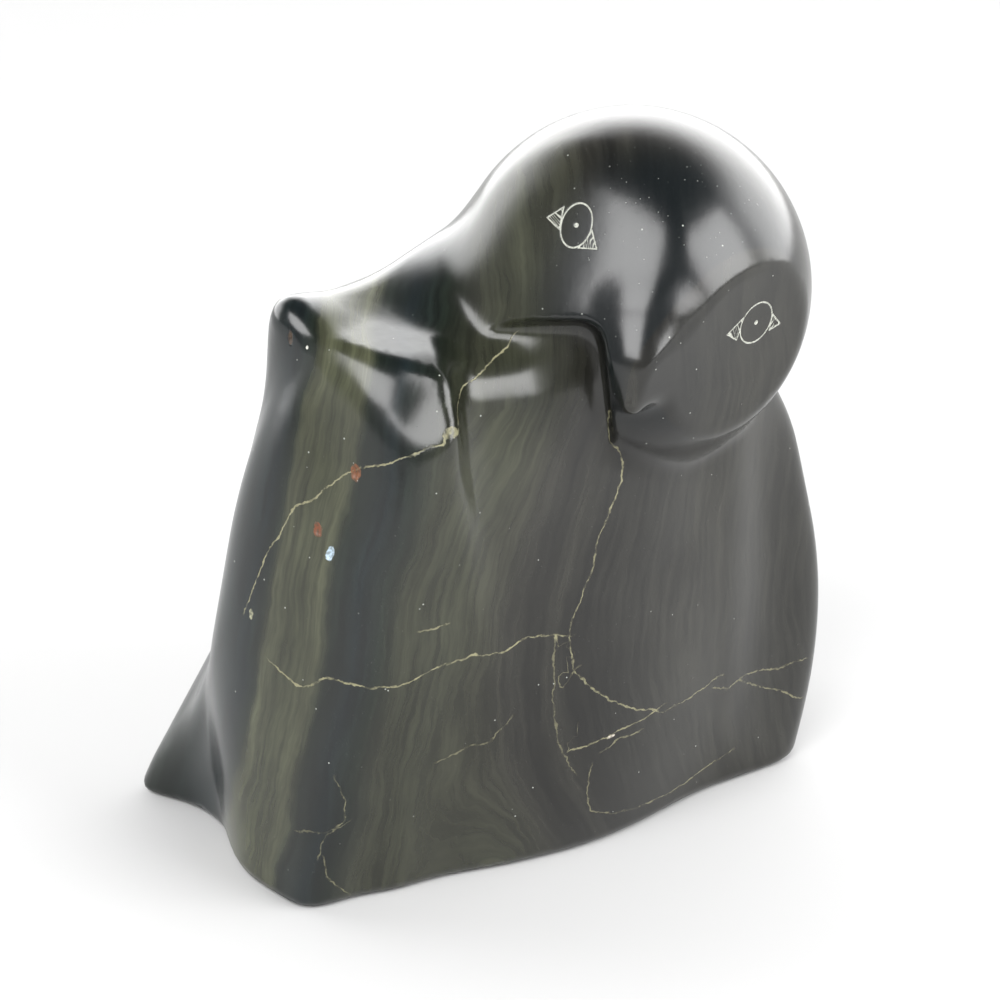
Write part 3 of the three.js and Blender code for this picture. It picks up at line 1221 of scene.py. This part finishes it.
@dataclass(frozen=True)
class Specks:
    """Small round specks, in some of the cells that the stone is divided into."""

    scale: float
    rim: Pair
    chance: Tuple[float, float, float, float]

    def shown(self, bench: Bench, place: bpy.types.NodeSocket) -> Signal:
        """Where the specks are.

        Args:
            bench: where the nodes go.
            place: the place on the stone, in millimetres.

        Returns:
            A value from 0 to 1.
        """
        cells = bench.node("ShaderNodeTexVoronoi", {"feature": "F1"}, {"Vector": place, "Scale": self.scale})
        pick = bench.node("ShaderNodeSeparateColor", {}, {0: cells.outputs["Color"]}).outputs[0]
        near = 1.0 - Signal(bench, cells.outputs["Distance"]).step(*self.rim)
        return near * Signal(bench, pick).step(*self.chance)


BLUE_BLACK: Triple = (0.0050, 0.0085, 0.0095)
DARK_GREEN: Triple = (0.0080, 0.0115, 0.0080)
BROWN: Triple = (0.0170, 0.0165, 0.0130)
DARK_BROWN: Triple = (0.0080, 0.0078, 0.0064)
GREY_BROWN: Triple = (0.0120, 0.0118, 0.0098)
HEAD_BLACK: Triple = (0.0035, 0.0055, 0.0065)


@dataclass(frozen=True)
class Soapstone:
    """Polished banded soapstone with hairline veins, flecks and fine scratches."""

    low: float = -50.0
    high: float = 60.0
    bands: Tuple[Band, ...] = (
        Band(-50.0, DARK_GREEN),
        Band(-37.0, BLUE_BLACK),
        Band(-34.6, DARK_GREEN),
        Band(-33.4, (0.0480, 0.0510, 0.0300)),
        Band(-29.5, (0.0340, 0.0370, 0.0210)),
        Band(-25.6, (0.0480, 0.0510, 0.0300)),
        Band(-24.0, DARK_GREEN),
        Band(-20.0, BLUE_BLACK),
        Band(-16.0, DARK_GREEN),
        Band(-12.5, (0.0220, 0.0235, 0.0150)),
        Band(-6.0, (0.0280, 0.0300, 0.0185)),
        Band(-1.0, (0.0220, 0.0225, 0.0150)),
        Band(3.0, BROWN),
        Band(7.0, DARK_BROWN),
        Band(10.5, BROWN),
        Band(13.5, DARK_BROWN),
        Band(24.0, GREY_BROWN),
        Band(34.0, BROWN),
        Band(60.0, GREY_BROWN),
    )
    marks: Tuple[Mark, ...] = (
        Mark((-43.0, -18.9, 75.2), 0.95, 1.35, (0.16, 0.055, 0.018)),
        Mark((-46.7, -13.9, 65.0), 0.80, 1.30, (0.17, 0.050, 0.018), (0.0, 0.1, 1.0)),
        Mark((-46.4, -16.5, 61.6), 0.70, 1.50, (0.46, 0.58, 0.68), (0.0, -0.35, 1.0)),
        Mark((-42.8, -3.3, 92.6), 0.50, 1.40, (0.060, 0.036, 0.020)),
        Mark((-42.4, -6.8, 92.0), 0.28, 0.32, (0.60, 0.60, 0.54)),
        Mark((-51.4, -2.4, 47.7), 0.45, 0.90, (0.30, 0.30, 0.20)),
        Mark((23.7, -42.8, 95.5), 0.42, 0.55, (0.62, 0.62, 0.57)),
        Mark((22.8, -42.7, 94.6), 0.30, 0.55, (0.55, 0.55, 0.50), (0.6, 0.0, 1.0)),
        Mark((-3.2, -34.4, 21.8), 0.35, 0.90, (0.55, 0.50, 0.42), (1.0, 0.0, 0.1)),
    )
    vein_colour: Triple = (0.260, 0.245, 0.140)
    scratch_colour: Triple = (0.480, 0.490, 0.430)
    wander: float = 1.6
    ripple: float = 0.55
    vein_cover: float = 0.9
    specks: Specks = Specks(0.42, (0.035, 0.075), (0.55, 0.95, 0.0, 0.8))
    dust: Specks = Specks(1.1, (0.05, 0.12), (0.45, 1.0, 0.0, 1.0))
    dust_cover: float = 0.6
    speck_colour: Triple = (0.42, 0.44, 0.40)
    face_looks: Triple = (0.10, -0.12, 1.0)
    face_step: Tuple[float, float, float, float] = (17.0, 26.0, 0.0, 0.9)
    cheek_dark: float = 0.12
    streaks_across: float = 0.9
    streaks_along: float = 0.05
    streaks_deep: float = 0.03
    broad_wave: float = 5.0
    fine_wave: float = 1.4
    grain_colour: Triple = (0.045, 0.050, 0.042)
    roughness: float = 0.17
    ior: float = 1.54

    def material(self, shift: Vector) -> bpy.types.Material:
        """Makes the stone's material.

        Args:
            shift: from the carving's own millimetres to the row's frame.

        Returns:
            The material.
        """
        made, bench = new_material("banded_soapstone")
        place = bench.vector(
            "SUBTRACT",
            bench.vector(
                "SCALE", bench.node("ShaderNodeTexCoord").outputs["Object"], scale=1.0 / MM
            ),
            tuple(shift),
        )
        layer = self.wavy_layer(bench, place)
        streak = self.streaks(bench, place, layer)
        colour = self.banded(bench, place, layer, streak)
        grain = bench.noise(place, 2.6, 3.0, 0.7)
        face = self.dark_face(bench, place, streak)
        colour = bench.mix(face, colour, HEAD_BLACK)
        colour = bench.mix(grain.step(0.60, 0.78, 0.0, 0.35), colour, self.grain_colour)
        colour, vein = self.veined(bench, place, colour)
        colour, mark = self.marked(bench, place, colour)
        colour, scratch = self.scratched(bench, place, colour)
        colour, speck = self.specked(bench, place, colour, face)
        haze = bench.noise(place, 0.12, 2.0)
        rough = self.roughness + 0.05 * streak + 0.05 * haze + 0.30 * vein + 0.35 * scratch
        rough = rough + 0.25 * mark + 0.3 * speck
        height = self.relief(bench, place, streak, grain, vein)
        bump = bench.node(
            "ShaderNodeBump", {}, {"Strength": 1.0, "Distance": MM, "Height": height}
        )
        shader = bench.node(
            "ShaderNodeBsdfPrincipled",
            {},
            {
                "Base Color": colour,
                "Roughness": rough,
                "IOR": self.ior,
                "Normal": bump.outputs["Normal"],
            },
        )
        bench.node("ShaderNodeOutputMaterial", {}, {"Surface": shader.outputs[0]})
        return made

    def wavy_layer(self, bench: Bench, place: bpy.types.NodeSocket) -> Signal:
        """The layer's coordinate, with the small waves that the bedding has."""
        broad = (bench.noise(place, 0.045, 1.0) - 0.5) * self.broad_wave
        fine = (bench.noise(place, 0.22, 2.0) - 0.5) * self.fine_wave
        return bench.attribute("layer") + broad + fine

    def dark_face(self, bench: Bench, place: bpy.types.NodeSocket, streak: Signal) -> Signal:
        """Where the face is blue-black: its front, but not the left cheek.

        Args:
            bench: where the nodes go.
            place: the place on the stone, in millimetres.
            streak: the fine streaks.

        Returns:
            A value from 0 to 1.
        """
        head = Head()
        offset = bench.vector("SUBTRACT", place, head.centre)
        axes = head.turned()
        forward, cheek = (
            bench.dot(offset, axes @ unit(way)) for way in (self.face_looks, head.left_cheek.faces)
        )
        near = 1.0 - bench.length(offset).step(head.radius + 2.0, head.radius + 6.0)
        flat = head.left_cheek.depth * head.radius
        dark = (forward + 5.0 * streak).step(*self.face_step)
        return near * dark * cheek.step(flat - 0.5, flat - 0.15, 1.0, self.cheek_dark)

    def streaks(self, bench: Bench, place: bpy.types.NodeSocket, layer: Signal) -> Signal:
        """Fine streaks that run along the layers.

        Args:
            bench: where the nodes go.
            place: the place on the stone, in millimetres.
            layer: the layer's coordinate.

        Returns:
            A value from 0 to 1.
        """
        parts = bench.node("ShaderNodeSeparateXYZ", {}, {0: place})
        along = Signal(bench, parts.outputs["Z"]) * self.streaks_along
        deep = Signal(bench, parts.outputs["Y"]) * self.streaks_deep
        return bench.noise(bench.combine(layer * self.streaks_across, deep, along), 1.0, 4.0, 0.65)

    def banded(
        self, bench: Bench, place: bpy.types.NodeSocket, layer: Signal, streak: Signal
    ) -> bpy.types.NodeSocket:
        """The stone's own colour, band by band.

        Args:
            bench: where the nodes go.
            place: the place on the stone, in millimetres.
            layer: the layer's coordinate.
            streak: the fine streaks.

        Returns:
            The colour.
        """
        span = self.high - self.low
        stops = [((band.place - self.low) / span, band.colour) for band in self.bands]
        ramp = bench.node("ShaderNodeValToRGB", {"stops": stops}, {0: (layer - self.low) / span})
        patch = bench.noise(place, 0.07, 3.0)
        light = streak.step(0.25, 0.80, 0.55, 1.55) * patch.step(0.3, 0.7, 0.85, 1.2)
        grey = bench.combine(light, light, light)
        return bench.mix(1.0, ramp.outputs["Color"], grey, "MULTIPLY")

    def veined(
        self, bench: Bench, place: bpy.types.NodeSocket, colour: bpy.types.NodeSocket
    ) -> Tuple[bpy.types.NodeSocket, Signal]:
        """Lays the veins over the stone.

        Args:
            bench: where the nodes go.
            place: the place on the stone, in millimetres.
            colour: the colour so far.

        Returns:
            The colour, and where the veins are.
        """
        wander = (bench.noise(place, 0.30) - 0.5) * self.wander
        ripple = (bench.noise(place, 1.5) - 0.5) * self.ripple
        breaks = bench.noise(place, 0.55, 3.0, 0.6)
        width = bench.noise(place, 0.8, 2.0).step(0.3, 0.75, 0.03, 0.13)
        total: Optional[Signal] = None
        for made in VEIN_SETS:
            off = abs(bench.attribute(made.name) + wander + ripple)
            line = (1.0 - (off - width).step(0.0, 0.12)) * bench.attribute(made.name + "_shown")
            total = line if total is None else total.most(line)
        assert total is not None
        total = total * breaks.step(0.36, 0.60, 0.12, 1.0)
        return bench.mix(total * self.vein_cover, colour, self.vein_colour), total

    def marked(
        self, bench: Bench, place: bpy.types.NodeSocket, colour: bpy.types.NodeSocket
    ) -> Tuple[bpy.types.NodeSocket, Signal]:
        """Lays the stains and flecks over the stone.

        Args:
            bench: where the nodes go.
            place: the place on the stone, in millimetres.
            colour: the colour so far.

        Returns:
            The colour, and where the marks are.
        """
        ragged = (bench.noise(place, 1.1, 3.0) - 0.5) * 0.9
        mottle = bench.noise(place, 1.9, 2.0).step(0.35, 0.65, 0.35, 1.15)
        total: Optional[Signal] = None
        for mark in self.marks:
            along = unit(mark.along)
            offset = bench.vector("SUBTRACT", place, mark.middle)
            run = bench.dot(offset, along) * (mark.radius / mark.length - 1.0)
            squeeze = bench.vector("MULTIPLY", bench.combine(run, run, run), tuple(along))
            reach = bench.length(bench.vector("ADD", offset, squeeze)) / mark.radius + ragged
            here = 1.0 - reach.step(0.80, 1.10)
            colour = bench.mix(here * mottle, colour, mark.colour)
            total = here if total is None else total.most(here)
        assert total is not None
        return colour, total

    def scratched(
        self, bench: Bench, place: bpy.types.NodeSocket, colour: bpy.types.NodeSocket
    ) -> Tuple[bpy.types.NodeSocket, Signal]:
        """Whitens the lines that the eyes are cut with.

        Args:
            bench: where the nodes go.
            place: the place on the stone, in millimetres.
            colour: the colour so far.

        Returns:
            The colour, and where the lines are.
        """
        powder = bench.noise(place, 3.2, 3.0, 0.7).step(0.30, 0.62, 0.35, 1.0)
        line = bench.attribute("eye_line").step(0.30, 0.85) * powder
        return bench.mix(line, colour, self.scratch_colour), line

    def specked(
        self, bench: Bench, place: bpy.types.NodeSocket, colour: bpy.types.NodeSocket, face: Signal
    ) -> Tuple[bpy.types.NodeSocket, Signal]:
        """Adds pale specks, thickest on the dark of the face.

        Args:
            bench: where the nodes go.
            place: the place on the stone, in millimetres.
            colour: the colour so far.
            face: how dark the face is there.

        Returns:
            The colour, and where the specks are.
        """
        dust = self.dust.shown(bench, place) * self.dust_cover
        speck = self.specks.shown(bench, place).most(dust * face.step(0.2, 0.9, 0.12, 1.0))
        return bench.mix(speck, colour, self.speck_colour), speck

    def relief(
        self, bench: Bench, place: bpy.types.NodeSocket, streak: Signal, grain: Signal, vein: Signal
    ) -> Signal:
        """The fine unevenness of the polish.

        Args:
            bench: where the nodes go.
            place: the place on the stone, in millimetres.
            streak: the fine streaks.
            grain: the stone's grain.
            vein: where the veins are.

        Returns:
            A height in millimetres.
        """
        wave = bench.noise(place, 0.35, 2.0)
        return 0.006 * grain + 0.004 * streak + 0.02 * wave - 0.03 * vein


@dataclass(frozen=True)
class Floor:
    """The pale studio floor."""

    radius: float = 3.0
    drop: float = 0.0001
    colour: Triple = (0.50, 0.50, 0.50)
    roughness: float = 0.9
    sides: int = 128

    def build(self) -> bpy.types.Object:
        """Makes the floor.

        Returns:
            The floor's object.
        """
        mesh = bpy.data.meshes.new("studio_floor")
        turns = [2.0 * math.pi * n / self.sides for n in range(self.sides)]
        corners = [(self.radius * math.cos(t), self.radius * math.sin(t), -self.drop) for t in turns]
        mesh.from_pydata(corners, [], [list(range(self.sides))])
        made = bpy.data.objects.new("studio_floor", mesh)
        bpy.context.scene.collection.objects.link(made)
        mesh.materials.append(self.material())
        return made

    def material(self) -> bpy.types.Material:
        """Makes the floor's matt paint."""
        made, bench = new_material("pale_floor")
        place = bench.node("ShaderNodeTexCoord").outputs["Object"]
        tone = bench.noise(place, 3.0, 2.0).step(0.3, 0.7)
        colour = bench.mix(tone, self.colour, tuple(0.985 * c for c in self.colour))
        shader = bench.node(
            "ShaderNodeBsdfPrincipled", {}, {"Base Color": colour, "Roughness": self.roughness}
        )
        bench.node("ShaderNodeOutputMaterial", {}, {"Surface": shader.outputs[0]})
        return made


@dataclass(frozen=True)
class Softbox:
    """A soft rectangular lamp that looks at the carving."""

    name: str
    towards: Triple
    distance: float
    width: float
    height: float
    radiance: float
    aim: Triple = (0.0, 0.0, 0.06)

    def build(self) -> bpy.types.Object:
        """Makes the lamp.

        Returns:
            The lamp's object.
        """
        lamp = bpy.data.lights.new(self.name, "AREA")
        lamp.shape = "RECTANGLE"
        lamp.size = self.width
        lamp.size_y = self.height
        lamp.energy = self.radiance * math.pi * self.width * self.height
        made = bpy.data.objects.new(self.name, lamp)
        bpy.context.scene.collection.objects.link(made)
        direction = Vector(self.towards).normalized()
        made.location = Vector(self.aim) + direction * self.distance
        made.rotation_euler = direction.to_track_quat("Z", "Y").to_euler()
        return made


@dataclass(frozen=True)
class Studio:
    """The floor, the lamps, the surroundings and the camera."""

    floor: Floor = Floor()
    lamps: Tuple[Softbox, ...] = (
        Softbox("key_softbox", (-0.69, -0.28, 0.67), 1.2, 0.84, 0.80, 8.0),
        Softbox("side_softbox", (0.38, -0.80, 0.46), 1.2, 0.84, 0.86, 8.0),
    )
    surround: Triple = (1.0, 1.0, 1.0)
    back_glow: float = 5.5
    front_glow: float = 0.30
    overhead_glow: float = 0.12
    azimuth: float = -41.0
    elevation: float = 24.0
    distance: float = 0.600
    target: Triple = (0.001458, 0.003771, 0.0517)
    lens: float = 129.6
    sensor: float = 36.0

    def build(self) -> None:
        """Sets the studio up."""
        self.floor.build()
        for lamp in self.lamps:
            lamp.build()
        self.build_surroundings()
        self.build_camera()
        view = bpy.context.scene.view_settings
        view.view_transform = "Standard"
        view.look = "None"
        LOG.info("studio: %d lamps, floor %.1f m across", len(self.lamps), 2 * self.floor.radius)

    def build_surroundings(self) -> None:
        """Makes the room: a bright sweep behind the carving, dim in front of it and overhead."""
        world = bpy.data.worlds.new("studio_room")
        bpy.context.scene.world = world
        world.use_nodes = True
        world.node_tree.nodes.clear()
        bench = Bench(world.node_tree)
        place = bench.node("ShaderNodeTexCoord").outputs["Generated"]
        parts = bench.node("ShaderNodeSeparateXYZ", {}, {0: place})
        up = Signal(bench, parts.outputs["Z"])
        turn = math.radians(self.azimuth)
        towards = (-math.sin(turn), math.cos(turn), 0.0)
        sweep = bench.dot(place, towards).step(-0.05, 0.30, self.front_glow, self.back_glow)
        glow = sweep * up.step(0.45, 0.80, 1.0, 0.0) + self.overhead_glow
        shine = bench.node("ShaderNodeBackground", {}, {"Color": (*self.surround, 1.0), "Strength": glow})
        bench.node("ShaderNodeOutputWorld", {}, {"Surface": shine.outputs[0]})

    def build_camera(self) -> None:
        """Stands the camera where it looks down on the bird's right front."""
        data = bpy.data.cameras.new("camera")
        data.lens = self.lens
        data.sensor_width = self.sensor
        data.clip_start = 0.01
        data.clip_end = 20.0
        camera = bpy.data.objects.new("camera", data)
        bpy.context.scene.collection.objects.link(camera)
        a, e = math.radians(self.azimuth), math.radians(self.elevation)
        back = Vector((math.sin(a) * math.cos(e), -math.cos(a) * math.cos(e), math.sin(e)))
        camera.location = Vector(self.target) + back * self.distance
        camera.rotation_mode = "QUATERNION"
        camera.rotation_quaternion = (-back).to_track_quat("-Z", "Y")
        bpy.context.scene.camera = camera


# ---------------------------------------------------------------------------------------------------
# The carving as an object
# ---------------------------------------------------------------------------------------------------


@dataclass
class Carving:
    """Builds the carving's fine surface and dresses it."""

    bird: Bird = field(default_factory=Bird)
    surface: Surface = field(default_factory=Surface)
    layers: Layers = field(default_factory=Layers)
    finish: Soapstone = field(default_factory=Soapstone)
    zones: Tuple[FineZone, ...] = (
        FineZone((-1, -10, 24), 22),
        FineZone((0, -17, 22), 11),
        FineZone((-14.8, 2.0, 21.9), 6.4),
        FineZone((-14.8, 2.0, 21.9), 5.8),
        FineZone((-14.8, 2.0, 21.9), 5.6),
        FineZone((17.6, -1.6, 17.8), 7.2),
        FineZone((17.6, -1.6, 17.8), 6.8),
        FineZone((17.6, -1.6, 17.8), 6.6),
    )
    pit_zone: float = 2.4
    pit_rounds: int = 2

    def build(self) -> bpy.types.Object:
        """Makes the carving's object, standing where the frame stands.

        Returns:
            The object.
        """
        self.draw()
        points = self.surface.points
        low, high = points.min(axis=0), points.max(axis=0)
        cad_centre = (cad_low + cad_high) / 2.0 / MM
        shift = Vector((cad_centre.x - (low[0] + high[0]) / 2, cad_centre.y - (low[1] + high[1]) / 2, 0.0))
        mesh = bpy.data.meshes.new(NODE + "_stone")
        placed = (points + np.array(shift)) * MM
        mesh.vertices.add(len(points))
        mesh.vertices.foreach_set("co", placed.astype(np.float32).ravel())
        count = len(self.surface.triangles)
        mesh.loops.add(3 * count)
        mesh.loops.foreach_set("vertex_index", self.surface.triangles.astype(np.int32).ravel())
        mesh.polygons.add(count)
        mesh.polygons.foreach_set("loop_start", np.arange(0, 3 * count, 3, dtype=np.int32))
        mesh.update(calc_edges=True)
        mesh.validate()
        mesh.shade_smooth()
        normals = self.surface.slope(self.bird.worked, points)
        normals = normals / np.linalg.norm(normals, axis=1)[:, None]
        mesh.normals_split_custom_set_from_vertices(normals.tolist())
        self.store(mesh, points, normals)
        made = bpy.data.objects.new(NODE + "_stone", mesh)
        bpy.context.scene.collection.objects.link(made)
        mesh.materials.append(self.finish.material(shift))
        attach(made, BODY)
        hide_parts(NODE)
        LOG.info("%s: %d triangles, shifted %s mm", made.name, count, tuple(round(v, 2) for v in shift))
        return made

    def draw(self) -> None:
        """Draws the surface, more finely at the face, the eyes and the pits."""
        surface = self.surface
        surface.draw(self.bird.field)
        for zone in self.zones:
            middle = self.bird.head.world(np.array(zone.middle)[None])[0]
            surface.refine(self.bird.worked, ball(middle, zone.reach))
        for pit in self.bird.pits:
            for _ in range(self.pit_rounds):
                surface.refine(self.bird.worked, ball(np.array(pit.middle), self.pit_zone))
        surface.points = surface.settle(self.bird.worked, surface.points, 1)

    def store(self, mesh: bpy.types.Mesh, points: Array, normals: Array) -> None:
        """Stores what the finish reads from the surface.

        Args:
            mesh: the carving's mesh.
            points: its points in the carving's own millimetres.
            normals: the surface's normals there.
        """
        values = {
            "layer": self.layers.coordinate(points),
            "eye_line": self.bird.head.scratches(points),
        }
        for made in VEIN_SETS:
            values[made.name], values[made.name + "_shown"] = made.measure(points, normals)
        for name, value in values.items():
            stored = mesh.attributes.new(name, "FLOAT", "POINT")
            stored.data.foreach_set("value", value.astype(np.float32))


def ball(middle: Array, reach: float) -> Callable[[Array], Array]:
    """A test for being inside a ball.

    Args:
        middle: the ball's middle.
        reach: its radius.

    Returns:
        A function from points to yes or no.
    """
    return lambda points: np.linalg.norm(points - middle, axis=1) < reach


def main() -> None:
    """Builds the carving and its studio."""
    logging.basicConfig(level=logging.INFO, format="%(name)s: %(message)s")
    Studio().build()
    Carving().build()


if __name__ == "__main__":
    main()
